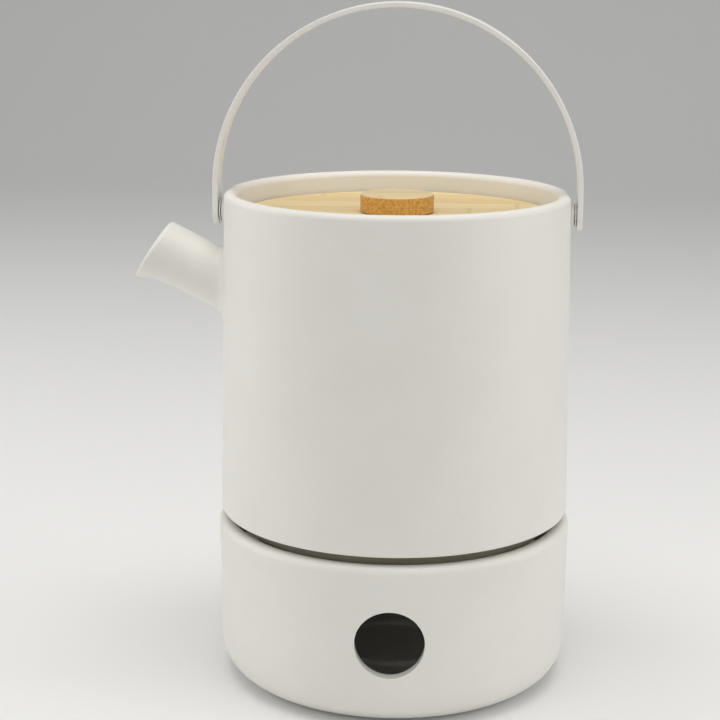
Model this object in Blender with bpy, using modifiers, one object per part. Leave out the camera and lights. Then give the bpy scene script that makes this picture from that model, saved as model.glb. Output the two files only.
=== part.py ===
"""Ceramic teapot with a bamboo lid, a steel bail handle and a tea strainer, standing on its tea light warmer.

Metres, +Z up. The origin is the centre of the warmer's flat underside. The spout points along -X, the
handle turns about an axis parallel to X, and the warmer's round window faces -Y.
"""

import math

import bmesh
import bpy
from mathutils import Matrix, Vector

MM = 0.001

# Clearances
TOUCH_GAP = 0.3 * MM  # between two pieces that rest on each other
PIVOT_GAP = 0.1 * MM  # radial, round a turning pin
SLIP_GAP = 1.0 * MM  # radial, round a piece that lifts out

# Warmer
WARMER_HEIGHT = 63.3 * MM
WARMER_TOP_RADIUS = 68.8 * MM
WARMER_FOOT_RADIUS = 68.1 * MM
WARMER_WALL = 4.2 * MM
WARMER_LIP = 6.4 * MM  # the rim is thicker than the wall, inwards
LIP_DEPTH = 8.0 * MM
WARMER_FLOOR = 6.5 * MM
WARMER_CORNER = 14.0 * MM
WARMER_INNER_CORNER = 9.0 * MM
WINDOW_RADIUS = 12.9 * MM
WINDOW_HEIGHT = 33.4 * MM
WINDOW_TURN = math.radians(2.1)  # from -Y towards +X
WELL_RADIUS = 20.0 * MM
WELL_RIDGE = 1.6 * MM
LUG_COUNT = 3
LUG_WIDTH = 14.0 * MM
LUG_REACH = 5.0 * MM
LUG_DEPTH = 9.0 * MM
SEAT_DROP = 2.7 * MM  # the pot's foot stands this far below the warmer's rim

# Pot
POT_HEIGHT = 123.5 * MM  # from the wall's lower edge to the rim
POT_FOOT_RADIUS = 67.8 * MM
POT_RIM_RADIUS = 65.8 * MM
POT_WALL = 4.8 * MM
POT_FLOOR = 5.5 * MM
POT_EDGE = 1.0 * MM
POT_INNER_CORNER = 8.0 * MM
SHADOW_GAP = 3.3 * MM  # between the warmer's rim and the pot wall's lower edge
FOOT_SLACK = 1.6 * MM  # radial, between the pot's foot and the warmer's wall
FOOT_RING = 7.0 * MM
FOOT_RECESS = 1.5 * MM
LEDGE_WIDTH = 4.6 * MM
LEDGE_THICKNESS = 4.0 * MM

# Spout: its upper and lower edges in the XZ plane, with a round section across each pair of points
SPOUT_TOP_DROP = 23.7 * MM  # below the rim, where the upper edge leaves the wall
SPOUT_TOP_RISE = math.radians(26.5)
SPOUT_TOP_LENGTH = 23.8 * MM
SPOUT_ROOT_WIDTH = 22.1 * MM
SPOUT_MOUTH_WIDTH = 26.0 * MM
SPOUT_ROOT_TILT = math.radians(29.0)  # of a section's plane from upright
SPOUT_MOUTH_TILT = math.radians(33.0)
SPOUT_FLARE = 4.0  # how late the width opens to the mouth
SPOUT_WALL = 3.6 * MM
SPOUT_ROOT_INSET = 9.0 * MM  # how far the spout is built past the wall before it is trimmed
SPOUT_STATIONS = 6
SPOUT_SIDES = 28

# Handle
PIVOT_DROP = 8.1 * MM  # below the pot's rim
BOSS_RADIUS = 4.6 * MM
BOSS_REACH = 1.1 * MM
WASHER_THICKNESS = 0.5 * MM
STRIP_THICKNESS = 2.0 * MM
STRIP_WIDTH = 11.5 * MM
STRIP_LEG = 8.6 * MM  # straight, from the pivot to the arch
PIN_RADIUS = 2.0 * MM
PIN_HEAD_RADIUS = 3.5 * MM
PIN_HEAD_DEPTH = 1.3 * MM
BUSH_WALL = 1.1 * MM
SOCKET_DEPTH = 4.6 * MM

# Strainer
STRAINER_RADIUS = 42.0 * MM
STRAINER_DEPTH = 50.0 * MM
STRAINER_SHEET = 0.6 * MM
COLLAR_SHEET = 0.8 * MM
COLLAR_STEM = 3.0 * MM

# Lid
LID_THICKNESS = 6.0 * MM
LID_EDGE = 0.8 * MM
PLUG_DEPTH = 8.0 * MM
SEAL_THICKNESS = 3.0 * MM
SEAL_BITE = 1.5 * MM
KNOB_RADIUS = 14.0 * MM
KNOB_HEIGHT = 6.8 * MM
KNOB_TOP_DROP = 0.9 * MM  # below the pot's rim
KNOB_EDGE = 0.9 * MM
SCREW_RADIUS = 1.7 * MM
SCREW_HEAD_RADIUS = 3.4 * MM
SCREW_HEAD_HEIGHT = 2.2 * MM
SCREW_BITE = 5.0 * MM
LID_WASHER_RADIUS = 6.0 * MM
LID_WASHER_THICKNESS = 0.8 * MM

LARGE_STEPS = 48
SMALL_STEPS = 20
ARCH_STEPS = 28

# Levels and radii that follow
SEAT_Z = WARMER_HEIGHT - SEAT_DROP
FOOT_Z = SEAT_Z + TOUCH_GAP
WALL_Z = WARMER_HEIGHT + SHADOW_GAP
RIM_Z = WALL_Z + POT_HEIGHT
PIVOT_Z = RIM_Z - PIVOT_DROP
WARMER_INNER = WARMER_TOP_RADIUS - WARMER_LIP
FOOT_RADIUS = WARMER_INNER - FOOT_SLACK
POCKET_RADIUS = POT_RIM_RADIUS - POT_WALL
LID_TOP_Z = RIM_Z - KNOB_TOP_DROP - KNOB_HEIGHT - TOUCH_GAP
LID_UNDER_Z = LID_TOP_Z - LID_THICKNESS
COLLAR_Z = LID_UNDER_Z - TOUCH_GAP - COLLAR_SHEET
LEDGE_Z = COLLAR_Z - TOUCH_GAP
LEDGE_RADIUS = POCKET_RADIUS - LEDGE_WIDTH
PIVOT_WALL_RADIUS = POT_FOOT_RADIUS + (POT_RIM_RADIUS - POT_FOOT_RADIUS) * (PIVOT_Z - WALL_Z) / POT_HEIGHT
BOSS_X = PIVOT_WALL_RADIUS + BOSS_REACH
STRIP_X = BOSS_X + WASHER_THICKNESS + 2 * TOUCH_GAP
STRAINER_FLOOR_Z = COLLAR_Z - STRAINER_DEPTH


def start_scene():
    for thing in list(bpy.data.objects):
        bpy.data.objects.remove(thing)
    for name in ("teapot_and_warmer", "cutters"):
        group = bpy.data.collections.new(name)
        bpy.context.scene.collection.children.link(group)


def material(name, colour, roughness, metallic=0.0):
    made = bpy.data.materials.get(name)
    if made is None:
        made = bpy.data.materials.new(name)
        made.use_nodes = True
        shader = made.node_tree.nodes["Principled BSDF"]
        shader.inputs["Base Color"].default_value = (*colour, 1.0)
        shader.inputs["Roughness"].default_value = roughness
        shader.inputs["Metallic"].default_value = metallic
    return made


def ceramic():
    return material("white_ceramic", (0.80, 0.79, 0.76), 0.35)


def painted_steel():
    return material("white_paint", (0.82, 0.81, 0.78), 0.40)


def bare_steel():
    return material("stainless_steel", (0.62, 0.62, 0.60), 0.28, 1.0)


def bamboo():
    return material("bamboo", (0.80, 0.64, 0.38), 0.50)


def dark_bamboo():
    return material("dark_bamboo", (0.62, 0.38, 0.15), 0.55)


def silicone():
    return material("silicone", (0.86, 0.86, 0.84), 0.60)


def nylon():
    return material("nylon", (0.83, 0.82, 0.78), 0.50)


def place(thing, group, finish=None):
    """Links an object as a part, or as a cutter that is never rendered."""
    bpy.data.collections[group].objects.link(thing)
    if group == "cutters":
        thing.hide_render = True
        thing.display_type = "WIRE"
    if finish is not None:
        thing.data.materials.append(finish)
    return thing


def arc(centre_r, centre_z, radius, start, end, count):
    """Points of an arc in the profile plane, from one angle to another in degrees."""
    angles = [math.radians(start + (end - start) * i / count) for i in range(count + 1)]
    return [(centre_r + radius * math.cos(a), centre_z + radius * math.sin(a)) for a in angles]


def turned(name, profile, group="teapot_and_warmer", finish=None, steps=LARGE_STEPS):
    """A profile of (radius, height) points turned about Z. It runs down its outer side. One that starts and
    ends on the axis stays open, and any other is closed."""
    mesh = bpy.data.meshes.new(name)
    last = len(profile) - 1
    edges = [(i, i + 1) for i in range(last)]
    if profile[0][0] > 0:
        edges.append((last, 0))
    mesh.from_pydata([(r, 0.0, z) for r, z in profile], edges, [])
    made = place(bpy.data.objects.new(name, mesh), group, finish)
    screw = made.modifiers.new("turn", "SCREW")
    screw.steps = steps
    screw.render_steps = steps
    screw.use_merge_vertices = True
    screw.merge_threshold = 0.01 * MM
    return made


def rod(name, radius, start_x, end_x, height, group="cutters", finish=None, end_radius=None, steps=SMALL_STEPS):
    """A cylinder or a cone along X."""
    mesh = bpy.data.meshes.new(name)
    shape = bmesh.new()
    turn = Matrix.Rotation(math.pi / 2, 4, "Y")
    middle = Matrix.Translation(Vector(((start_x + end_x) / 2, 0.0, height)))
    bmesh.ops.create_cone(
        shape, cap_ends=True, segments=steps, radius1=radius,
        radius2=radius if end_radius is None else end_radius, depth=abs(end_x - start_x),
        matrix=middle @ (turn if end_x > start_x else turn.inverted()),
    )
    shape.to_mesh(mesh)
    shape.free()
    return place(bpy.data.objects.new(name, mesh), group, finish)


def boolean(thing, operation, other):
    cut = thing.modifiers.new(f"{operation.lower()} {other.name}", "BOOLEAN")
    cut.operation = operation
    cut.object = other
    cut.solver = "EXACT"


def as_mesh(curve, group):
    """Turns a curve object into a closed mesh object with its caps welded."""
    graph = bpy.context.evaluated_depsgraph_get()
    mesh = bpy.data.meshes.new_from_object(curve.evaluated_get(graph))
    shape = bmesh.new()
    shape.from_mesh(mesh)
    bmesh.ops.remove_doubles(shape, verts=shape.verts, dist=0.001 * MM)
    bmesh.ops.recalc_face_normals(shape, faces=shape.faces)
    shape.to_mesh(mesh)
    shape.free()
    name = curve.name
    matrix = curve.matrix_world.copy()
    bpy.data.objects.remove(curve)
    made = bpy.data.objects.new(name, mesh)
    made.matrix_world = matrix
    return place(made, group)


def outline(name, points, half_depth, group):
    """A flat outline in the XZ plane, thickened both ways along Y."""
    curve = bpy.data.curves.new(name, "CURVE")
    curve.dimensions = "2D"
    curve.fill_mode = "BOTH"
    curve.extrude = half_depth
    line = curve.splines.new("POLY")
    line.use_cyclic_u = True
    line.points.add(len(points) - 1)
    for spot, (x, z) in zip(line.points, points):
        spot.co = (x, z, 0.0, 1.0)
    made = bpy.data.objects.new(name, curve)
    made.rotation_euler = (math.pi / 2, 0.0, 0.0)
    bpy.context.scene.collection.objects.link(made)
    bpy.context.view_layer.update()
    return as_mesh(made, group)


def build_warmer():
    """An open ceramic drum with a round window, a ridge round the candle's well and lugs for the pot's foot."""
    bullnose = WARMER_LIP / 2
    profile = arc(WARMER_TOP_RADIUS - bullnose, WARMER_HEIGHT - bullnose, bullnose, 90, 0, 5)
    profile += arc(WARMER_FOOT_RADIUS - WARMER_CORNER, WARMER_CORNER, WARMER_CORNER, 0, -90, 7)
    profile += [(0.0, 0.0), (0.0, WARMER_FLOOR)]
    profile += [(WELL_RADIUS, WARMER_FLOOR)]
    profile += arc(WELL_RADIUS + WELL_RIDGE, WARMER_FLOOR, WELL_RIDGE, 150, 30, 3)
    profile += [(WELL_RADIUS + 2 * WELL_RIDGE, WARMER_FLOOR)]
    corner = WARMER_INNER_CORNER
    floor_radius = WARMER_FOOT_RADIUS - WARMER_WALL
    profile += arc(floor_radius - corner, WARMER_FLOOR + corner, corner, -90, 0, 4)
    under_lip = WARMER_HEIGHT - LIP_DEPTH
    wall_share = (under_lip - WARMER_CORNER) / (WARMER_HEIGHT - bullnose - WARMER_CORNER)
    wall_radius = WARMER_FOOT_RADIUS + (WARMER_TOP_RADIUS - WARMER_FOOT_RADIUS) * wall_share - WARMER_WALL
    profile += [(wall_radius, under_lip - (wall_radius - WARMER_INNER)), (WARMER_INNER, under_lip)]
    profile += arc(WARMER_TOP_RADIUS - bullnose, WARMER_HEIGHT - bullnose, bullnose, 180, 90, 5)[:-1]
    warmer = turned("warmer", profile, finish=ceramic())
    for i in range(LUG_COUNT):
        turn = math.radians(90 + 360 * i / LUG_COUNT)
        inner, outer = WARMER_INNER - LUG_REACH, WARMER_INNER + WARMER_LIP / 2
        bpy.ops.mesh.primitive_cube_add(size=1.0)
        lug = bpy.context.object
        bpy.context.collection.objects.unlink(lug)
        lug.name = f"lug_{i + 1}"
        lug.data.transform(Matrix.Diagonal((outer - inner, LUG_WIDTH, LUG_DEPTH, 1.0)))
        lug.data.transform(Matrix.Translation(((inner + outer) / 2, 0.0, SEAT_Z - LUG_DEPTH / 2)))
        lug.rotation_euler = (0.0, 0.0, turn)
        boolean(warmer, "UNION", place(lug, "cutters"))
    window = rod("window_cutter", WINDOW_RADIUS, 0.0, 1.5 * WARMER_TOP_RADIUS, 0.0)
    window.location = (0.0, 0.0, WINDOW_HEIGHT)
    window.rotation_euler = (0.0, 0.0, WINDOW_TURN - math.pi / 2)
    start = WARMER_INNER - 4 * WARMER_LIP
    window.data.transform(Matrix.Translation((start, 0.0, 0.0)))
    boolean(warmer, "DIFFERENCE", window)


def spout_section(share):
    """The spout's section at a share of its length: its centre in the XZ plane, its tilt and its width.
    A share below 0 is inside the pot's wall."""
    along = share * SPOUT_TOP_LENGTH
    top_x = -pot_radius(RIM_Z - SPOUT_TOP_DROP) - along * math.cos(SPOUT_TOP_RISE)
    top_z = RIM_Z - SPOUT_TOP_DROP + along * math.sin(SPOUT_TOP_RISE)
    opened = max(share, 0.0)
    width = SPOUT_ROOT_WIDTH + (SPOUT_MOUTH_WIDTH - SPOUT_ROOT_WIDTH) * opened ** SPOUT_FLARE
    tilt = SPOUT_ROOT_TILT + (SPOUT_MOUTH_TILT - SPOUT_ROOT_TILT) * opened
    return top_x - width / 2 * math.sin(tilt), top_z - width / 2 * math.cos(tilt), tilt, width


def spout_loft(name, shares, inset, group="cutters", finish=None):
    """A closed loft through the spout's round sections, each narrower than the spout by an inset all round."""
    shape = bmesh.new()
    rings = []
    for share in shares:
        x, z, tilt, width = spout_section(share)
        radius = width / 2 - inset
        ring = []
        for i in range(SPOUT_SIDES):
            turn = 2 * math.pi * i / SPOUT_SIDES
            up = radius * math.cos(turn)
            spot = (x + up * math.sin(tilt), radius * math.sin(turn), z + up * math.cos(tilt))
            ring.append(shape.verts.new(spot))
        rings.append(ring)
    for near, far in zip(rings, rings[1:]):
        for i in range(SPOUT_SIDES):
            after = (i + 1) % SPOUT_SIDES
            shape.faces.new((near[i], near[after], far[after], far[i]))
    shape.faces.new(rings[0])
    shape.faces.new(rings[-1])
    bmesh.ops.recalc_face_normals(shape, faces=shape.faces)
    mesh = bpy.data.meshes.new(name)
    shape.to_mesh(mesh)
    shape.free()
    return place(bpy.data.objects.new(name, mesh), group, finish)


def pot_radius(height, inset=0.0):
    share = (height - WALL_Z) / POT_HEIGHT
    return POT_FOOT_RADIUS + (POT_RIM_RADIUS - POT_FOOT_RADIUS) * share - inset


def build_pot():
    """A tapered ceramic vessel with a stepped foot, a ledge for the strainer and two bosses, and its hollow spout.
    The spout is a solid of its own, so that its channel and the vessel both stay open to what goes in."""
    nose = POT_WALL / 2
    profile = arc(POT_RIM_RADIUS - nose, RIM_Z - nose, nose, 90, 0, 5)
    profile += arc(POT_FOOT_RADIUS - POT_EDGE, WALL_Z + POT_EDGE, POT_EDGE, 0, -90, 3)
    profile += [(FOOT_RADIUS, WALL_Z), (FOOT_RADIUS, FOOT_Z)]
    profile += [(FOOT_RADIUS - FOOT_RING, FOOT_Z), (FOOT_RADIUS - FOOT_RING, FOOT_Z + FOOT_RECESS)]
    profile += [(0.0, FOOT_Z + FOOT_RECESS)]
    floor_z = FOOT_Z + FOOT_RECESS + POT_FLOOR
    profile += [(0.0, floor_z)]
    corner = POT_INNER_CORNER
    profile += arc(pot_radius(floor_z, POT_WALL) - corner, floor_z + corner, corner, -90, 0, 5)
    under_z = LEDGE_Z - LEDGE_THICKNESS
    profile += [(pot_radius(under_z, POT_WALL), under_z - LEDGE_WIDTH)]
    profile += [(LEDGE_RADIUS, under_z), (LEDGE_RADIUS, LEDGE_Z), (POCKET_RADIUS, LEDGE_Z)]
    profile += arc(POT_RIM_RADIUS - nose, RIM_Z - nose, nose, 180, 90, 5)[:-1]
    pot = turned("pot_body", profile, finish=ceramic())

    inside = -SPOUT_ROOT_INSET / SPOUT_TOP_LENGTH
    shares = [inside] + [i / SPOUT_STATIONS for i in range(SPOUT_STATIONS + 1)]
    spout = spout_loft("pot_spout", shares, 0.0, "teapot_and_warmer", ceramic())
    wall = [(0.0, RIM_Z), (pot_radius(RIM_Z, -TOUCH_GAP), RIM_Z)]
    wall += [(pot_radius(WALL_Z, -TOUCH_GAP), WALL_Z), (0.0, WALL_Z)]
    boolean(spout, "DIFFERENCE", turned("spout_seat", wall, "cutters"))
    bore = spout_loft("spout_bore", [2 * inside] + shares + [1.0 - inside / 3], SPOUT_WALL)
    boolean(spout, "DIFFERENCE", bore)
    boolean(pot, "DIFFERENCE", bore)

    boss_root = BOSS_X - BOSS_REACH - POT_WALL / 2
    socket_radius = PIN_RADIUS + PIVOT_GAP + BUSH_WALL + PIVOT_GAP
    socket_floor = BOSS_X - SOCKET_DEPTH
    for side, sign in (("left", -1), ("right", 1)):
        boss = rod(f"boss_{side}", BOSS_RADIUS, sign * boss_root, sign * BOSS_X, PIVOT_Z)
        boolean(pot, "UNION", boss)
    for side, sign in (("left", -1), ("right", 1)):
        socket = rod(f"socket_{side}", socket_radius, sign * socket_floor, sign * (BOSS_X + POT_WALL), PIVOT_Z)
        boolean(pot, "DIFFERENCE", socket)


def build_handle():
    """A steel strip bent to an arch, with a headed pin through each end, in bushes set in the pot's bosses."""
    inner = STRIP_X
    outer = inner + STRIP_THICKNESS
    arch_z = PIVOT_Z + STRIP_LEG
    foot_z = PIVOT_Z - STRIP_WIDTH
    bend = [(outer, foot_z)] + arc(0.0, arch_z, outer, 0, 180, ARCH_STEPS) + [(-outer, foot_z)]
    bend += [(-inner, foot_z)] + arc(0.0, arch_z, inner, 180, 0, ARCH_STEPS) + [(inner, foot_z)]
    strip = outline("handle_strip", bend, STRIP_WIDTH, "teapot_and_warmer")
    strip.data.materials.append(painted_steel())
    half = STRIP_WIDTH / 2
    top_z = arch_z + 2 * outer
    side_view = [(half, PIVOT_Z), (half, top_z), (-half, top_z), (-half, PIVOT_Z)]
    side_view += arc(0.0, PIVOT_Z, half, 180, 360, 12)[1:-1]
    blank = outline("strip_side_view", side_view, 1.5 * outer, "cutters")
    blank.rotation_euler = (math.pi / 2, 0.0, math.pi / 2)
    boolean(strip, "INTERSECT", blank)
    for side, sign in (("left", -1), ("right", 1)):
        build_pivot(side, sign, strip, inner, outer)


def build_pivot(side, sign, strip, inner, outer):
    """One end's countersunk hole, pin, bush and washer."""
    hole = PIN_RADIUS + PIVOT_GAP
    through = rod(f"eye_{side}", hole, sign * (inner - MM), sign * (outer + MM), PIVOT_Z)
    boolean(strip, "DIFFERENCE", through)
    rise = (PIN_HEAD_RADIUS - PIN_RADIUS) / PIN_HEAD_DEPTH
    sink_start = outer - PIN_HEAD_DEPTH - PIVOT_GAP
    sink_end = outer + MM
    sink = rod(f"countersink_{side}", hole, sign * sink_start, sign * sink_end, PIVOT_Z,
               end_radius=hole + rise * (sink_end - sink_start))
    boolean(strip, "DIFFERENCE", sink)
    socket_end = BOSS_X - SOCKET_DEPTH
    pin_end = socket_end + 2 * TOUCH_GAP
    pin = rod(f"handle_pin_{side}", PIN_RADIUS, sign * pin_end, sign * (outer - PIN_HEAD_DEPTH / 2), PIVOT_Z,
              "teapot_and_warmer", bare_steel())
    head = rod(f"pin_head_{side}", PIN_RADIUS, sign * (outer - PIN_HEAD_DEPTH), sign * outer, PIVOT_Z,
               end_radius=PIN_HEAD_RADIUS)
    boolean(pin, "UNION", head)
    bush_inner = PIN_RADIUS + PIVOT_GAP
    bush = rod(f"pin_bush_{side}", bush_inner + BUSH_WALL, sign * (socket_end + TOUCH_GAP),
               sign * BOSS_X, PIVOT_Z, "teapot_and_warmer", nylon())
    bush_bore = rod(f"bush_bore_{side}", bush_inner, sign * (socket_end - MM), sign * (BOSS_X + MM), PIVOT_Z)
    boolean(bush, "DIFFERENCE", bush_bore)
    washer_start = BOSS_X + TOUCH_GAP
    washer = rod(f"handle_washer_{side}", BOSS_RADIUS, sign * washer_start,
                 sign * (washer_start + WASHER_THICKNESS), PIVOT_Z, "teapot_and_warmer", nylon())
    washer_bore = rod(f"washer_bore_{side}", bush_inner, sign * (washer_start - MM),
                      sign * (washer_start + WASHER_THICKNESS + MM), PIVOT_Z)
    boolean(washer, "DIFFERENCE", washer_bore)


def build_strainer():
    """A sheet steel basket that hangs from a collar on the pot's ledge. Its fine holes are left to the finish."""
    outer_edge = POCKET_RADIUS - SLIP_GAP
    stem_outer = STRAINER_RADIUS + TOUCH_GAP + COLLAR_SHEET
    top = COLLAR_Z + COLLAR_SHEET
    collar = [(outer_edge, top), (outer_edge, COLLAR_Z), (stem_outer, COLLAR_Z)]
    collar += [(stem_outer, COLLAR_Z - COLLAR_STEM), (stem_outer - COLLAR_SHEET, COLLAR_Z - COLLAR_STEM)]
    collar += [(stem_outer - COLLAR_SHEET, top)]
    turned("strainer_collar", collar, finish=bare_steel())
    inner = STRAINER_RADIUS - STRAINER_SHEET
    sleeve = [(STRAINER_RADIUS, COLLAR_Z), (STRAINER_RADIUS, STRAINER_FLOOR_Z)]
    sleeve += [(inner, STRAINER_FLOOR_Z), (inner, COLLAR_Z)]
    turned("strainer_sleeve", sleeve, finish=bare_steel())
    edge = inner - TOUCH_GAP
    lip = 3 * STRAINER_SHEET
    floor_top = STRAINER_FLOOR_Z + STRAINER_SHEET
    floor = [(edge, STRAINER_FLOOR_Z + lip), (edge, STRAINER_FLOOR_Z), (0.0, STRAINER_FLOOR_Z)]
    floor += [(0.0, floor_top), (edge - STRAINER_SHEET, floor_top)]
    floor += [(edge - STRAINER_SHEET, STRAINER_FLOOR_Z + lip)]
    turned("strainer_floor", floor, finish=bare_steel())


def build_lid():
    """A bamboo lid whose plug carries a silicone seal in a groove, and a knob held by a screw from below."""
    edge = POCKET_RADIUS - SLIP_GAP
    seal_outer = STRAINER_RADIUS - STRAINER_SHEET - TOUCH_GAP
    plug = seal_outer - SEAL_BITE
    groove = plug - SEAL_BITE
    groove_top = LID_UNDER_Z - PLUG_DEPTH / 2 + SEAL_THICKNESS / 2
    groove_floor = groove_top - SEAL_THICKNESS
    plug_z = LID_UNDER_Z - PLUG_DEPTH
    screw_hole = SCREW_RADIUS + PIVOT_GAP
    sink = LID_WASHER_RADIUS + TOUCH_GAP
    sink_z = plug_z + LID_WASHER_THICKNESS + SCREW_HEAD_HEIGHT + 2 * TOUCH_GAP
    lid = [(edge - LID_EDGE, LID_TOP_Z), (edge, LID_TOP_Z - LID_EDGE), (edge, LID_UNDER_Z), (plug, LID_UNDER_Z)]
    lid += [(plug, groove_top), (groove, groove_top), (groove, groove_floor), (plug, groove_floor)]
    lid += [(plug, plug_z), (sink, plug_z), (sink, sink_z), (screw_hole, sink_z), (screw_hole, LID_TOP_Z)]
    turned("lid_disc", lid, finish=bamboo())
    slack = PIVOT_GAP
    seal = [(seal_outer, groove_top - SEAL_THICKNESS / 3), (seal_outer, groove_floor + SEAL_THICKNESS / 3)]
    seal += [(plug, groove_floor + slack), (groove + slack, groove_floor + slack)]
    seal += [(groove + slack, groove_top - slack), (plug, groove_top - slack)]
    turned("lid_seal", seal, finish=silicone())

    knob_z = LID_TOP_Z + TOUCH_GAP
    knob_top = knob_z + KNOB_HEIGHT
    hole_z = knob_z + SCREW_BITE + TOUCH_GAP
    knob = [(0.0, knob_top)] + arc(KNOB_RADIUS - KNOB_EDGE, knob_top - KNOB_EDGE, KNOB_EDGE, 90, 0, 3)
    knob += [(KNOB_RADIUS, knob_z), (screw_hole, knob_z), (screw_hole, hole_z), (0.0, hole_z)]
    turned("lid_knob", knob, finish=dark_bamboo())

    washer_top = sink_z - TOUCH_GAP
    washer_z = washer_top - LID_WASHER_THICKNESS
    washer = [(LID_WASHER_RADIUS, washer_top), (LID_WASHER_RADIUS, washer_z), (screw_hole, washer_z)]
    turned("lid_washer", washer + [(screw_hole, washer_top)], finish=bare_steel(), steps=SMALL_STEPS)
    head_top = washer_z - TOUCH_GAP
    head_z = head_top - SCREW_HEAD_HEIGHT
    tip_z = knob_z + SCREW_BITE
    screw = [(0.0, tip_z), (SCREW_RADIUS * 0.6, tip_z - SCREW_RADIUS / 2), (SCREW_RADIUS, tip_z - SCREW_RADIUS)]
    screw += [(SCREW_RADIUS, head_top), (SCREW_HEAD_RADIUS, head_top)]
    screw += [(SCREW_HEAD_RADIUS, head_z + SCREW_HEAD_HEIGHT / 2), (SCREW_HEAD_RADIUS * 0.7, head_z), (0.0, head_z)]
    turned("lid_screw", screw, finish=bare_steel(), steps=SMALL_STEPS)


start_scene()
build_warmer()
build_pot()
build_handle()
build_strainer()
build_lid()
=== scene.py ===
"""The finish of the ceramic teapot and its tea light warmer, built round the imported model.

Metres, +Z up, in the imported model's frame. The spout points along -X.
"""

import math

import bmesh
import bpy
from mathutils import Matrix, Vector


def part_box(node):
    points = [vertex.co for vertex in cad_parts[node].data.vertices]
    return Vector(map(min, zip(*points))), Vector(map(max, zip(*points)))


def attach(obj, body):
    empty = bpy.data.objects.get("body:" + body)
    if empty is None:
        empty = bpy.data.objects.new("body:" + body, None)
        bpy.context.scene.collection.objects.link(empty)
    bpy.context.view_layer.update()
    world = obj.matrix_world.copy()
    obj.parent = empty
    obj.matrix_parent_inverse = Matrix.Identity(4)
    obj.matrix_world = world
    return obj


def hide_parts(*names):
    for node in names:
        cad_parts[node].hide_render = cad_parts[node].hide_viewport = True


MM = 0.001

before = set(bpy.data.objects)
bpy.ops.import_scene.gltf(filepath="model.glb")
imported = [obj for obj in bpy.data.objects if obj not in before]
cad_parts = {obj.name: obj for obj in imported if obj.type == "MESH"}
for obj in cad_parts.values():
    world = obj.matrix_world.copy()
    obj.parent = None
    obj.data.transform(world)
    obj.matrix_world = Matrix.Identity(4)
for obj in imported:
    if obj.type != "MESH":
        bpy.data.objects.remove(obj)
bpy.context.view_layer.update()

# Sizes that the frame gives
WARMER_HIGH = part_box("warmer")[1]
POT_LOW, POT_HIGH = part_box("pot_body")
STRIP_LOW, STRIP_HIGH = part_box("handle_strip")
DISC_LOW, DISC_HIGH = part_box("lid_disc")
KNOB_LOW, KNOB_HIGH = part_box("lid_knob")
COLLAR_LOW, COLLAR_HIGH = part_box("strainer_collar")
SLEEVE_LOW, SLEEVE_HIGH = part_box("strainer_sleeve")
SIEVE_LOW, SIEVE_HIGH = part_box("strainer_floor")
PIN_LOW, PIN_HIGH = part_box("handle_pin_right")
WASHER_LOW, WASHER_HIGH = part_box("handle_washer_right")
BUSH_LOW, BUSH_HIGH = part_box("pin_bush_right")
PIVOT_Z = (PIN_LOW[2] + PIN_HIGH[2]) / 2

# Warmer
WARMER_HEIGHT = WARMER_HIGH[2]
WARMER_TOP_RADIUS = WARMER_HIGH[0]
WARMER_FOOT_RADIUS = WARMER_TOP_RADIUS - 0.7 * MM
WARMER_WALL = 4.2 * MM
WARMER_LIP = 6.4 * MM
LIP_DEPTH = 8.0 * MM
WARMER_FLOOR = 6.5 * MM
WARMER_CORNER = 14.0 * MM
WARMER_INNER_CORNER = 9.0 * MM
WINDOW_RADIUS = 12.9 * MM
WINDOW_HEIGHT = 33.4 * MM
WINDOW_TURN = math.radians(2.1)
WINDOW_EDGE = 1.4 * MM
WELL_RADIUS = 20.0 * MM
WELL_RIDGE = 1.6 * MM
LUG_COUNT = 3
LUG_WIDTH = 14.0 * MM
LUG_REACH = 5.0 * MM
LUG_DEPTH = 9.0 * MM
LUG_EDGE = 1.2 * MM
SEAT_DROP = 2.7 * MM

# Pot
RIM_Z = POT_HIGH[2]
FOOT_Z = POT_LOW[2]
WALL_Z = FOOT_Z + 5.7 * MM
POT_FOOT_RADIUS = POT_HIGH[1]
POT_RIM_RADIUS = POT_FOOT_RADIUS - 2.0 * MM
POT_WALL = 4.8 * MM
POT_FLOOR = 5.5 * MM
POT_EDGE = 1.0 * MM
POT_INNER_CORNER = 8.0 * MM
FOOT_RADIUS = 60.8 * MM
FOOT_RING = 7.0 * MM
FOOT_RECESS = 1.5 * MM
LEDGE_WIDTH = 4.6 * MM
LEDGE_THICKNESS = 4.0 * MM
LEDGE_SOFT = 0.8 * MM
LEDGE_GAP = 0.3 * MM

# Spout
SPOUT_TOP_DROP = 23.7 * MM
SPOUT_TOP_RISE = math.radians(26.5)
SPOUT_TOP_LENGTH = 23.8 * MM
SPOUT_ROOT_WIDTH = 22.1 * MM
SPOUT_MOUTH_WIDTH = 26.0 * MM
SPOUT_ROOT_TILT = math.radians(29.0)
SPOUT_MOUTH_TILT = math.radians(33.0)
SPOUT_FLARE = 4.0
SPOUT_WALL = 3.6 * MM
SPOUT_SIDES = 96
SPOUT_LIP = SPOUT_WALL / 2
SPOUT_FILLET_TOP = 4.2 * MM
SPOUT_FILLET_UNDER = 6.0 * MM
FILLET_SINK = 0.12 * MM
ROOT_SPREAD = 0.4 * MM
ROOT_SINK = 1.6 * MM
FILLET_STEPS = 10
TUBE_STEPS = 12
LIP_STEPS = 8
# Shares of the spout's length between which its channel is cut
BORE_DEEP = (-1.1, -0.8)
BORE_START = -0.6
BORE_STEPS = 16
BORE_END = 1.2

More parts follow.
